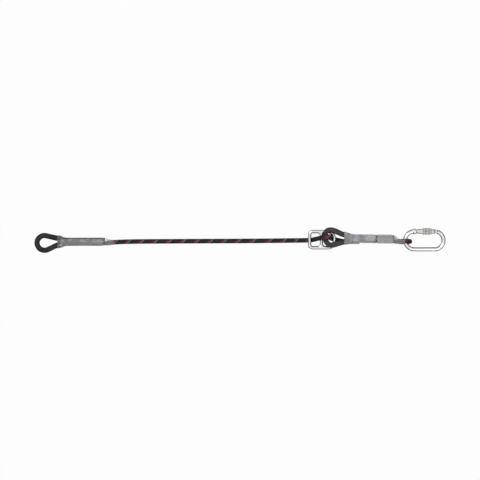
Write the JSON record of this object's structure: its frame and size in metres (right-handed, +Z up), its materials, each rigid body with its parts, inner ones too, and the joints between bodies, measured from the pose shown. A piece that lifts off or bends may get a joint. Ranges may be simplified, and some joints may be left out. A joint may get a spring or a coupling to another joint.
{
  "type": "adjustable rope lanyard",
  "caption": "Work positioning lanyard of black rope with a sewn eye, a three-bar ring adjuster and a short sewn lanyard that ends in an oval screw-gate carabiner.",
  "frame": {"origin": "centre of the footprint on the surface that the lanyard lies on", "axes": "+X runs along the rope from the sewn eye to the carabiner, +Z is up, the carabiner's gate is on the +Y side"},
  "size_m": [1.0506, 0.0653, 0.0452],
  "materials": {
    "rope": "braided black polyamide sheath with a red and grey tracer",
    "webbing": "woven black tubular webbing",
    "thread": "bonded sewing thread",
    "label": "bare grey label",
    "film": "clear heat-shrink film, slightly wrinkled",
    "ring_steel": "bright zinc-plated forged steel",
    "carabiner_steel": "bright plated steel",
    "sleeve_steel": "knurled plated steel",
    "spring_steel": "spring wire"
  },
  "bodies": {
    "long_side": {"left_eye_rope": "rope", "left_eye_cover": "webbing", "left_stitching": "thread", "left_label": "label", "left_shrink_sleeve": "film", "main_rope": "rope"},
    "adjuster": {"adjuster_ring": "ring_steel", "adjuster_rope": "rope", "tail_end_cap": "film"},
    "short_side": {"short_rope": "rope", "right_eye_cover": "webbing", "eye_stitching": "thread", "right_label": "label", "right_shrink_sleeve": "film"},
    "carabiner": {"carabiner_body": "carabiner_steel", "gate_rivet": "carabiner_steel"},
    "gate": {"carabiner_gate": "carabiner_steel", "gate_latch_pin": "carabiner_steel", "gate_spring": "spring_steel"},
    "plunger": {"gate_plunger": "carabiner_steel"},
    "lock_sleeve": {"screw_sleeve": "sleeve_steel"}
  },
  "joints": [
    {"name": "adjuster_slide", "type": "slide", "parent": "long_side", "child": "adjuster", "axis": [-1, 0, 0], "range_m": [0, 0.42], "deforming": ["main_rope"]},
    {"name": "short_side_swing", "type": "hinge", "parent": "adjuster", "child": "short_side", "pos_m": [0.2166, 0.01, 0.026], "axis": [0, -1, 0], "range_deg": [0, 90]},
    {"name": "carabiner_swing", "type": "hinge", "parent": "short_side", "child": "carabiner", "pos_m": [0.4212, -0.002, 0.01805], "axis": [0, -1, 0], "range_deg": [0, 150]},
    {"name": "gate_hinge", "type": "hinge", "parent": "carabiner", "child": "gate", "pos_m": [0.49498, 0.02385, 0.00848], "axis": [0.1286, 0, 0.9917], "range_deg": [0, 25], "stiffness_Nm_per_rad": 0.3, "springref_deg": -45.84},
    {"name": "plunger_push", "type": "slide", "parent": "gate", "child": "plunger", "axis": [-0.9917, 0, 0.1286], "range_m": [0, 0.00146], "deforming": ["gate_spring"]},
    {"name": "lock_sleeve_slide", "type": "slide", "parent": "gate", "child": "lock_sleeve", "axis": [-0.9917, 0, 0.1286], "range_m": [0, 0.017]}
  ],
  "couplings": [
    {"joint": "plunger_push", "follows": "gate_hinge", "m_per_rad": 0.003323}
  ]
}
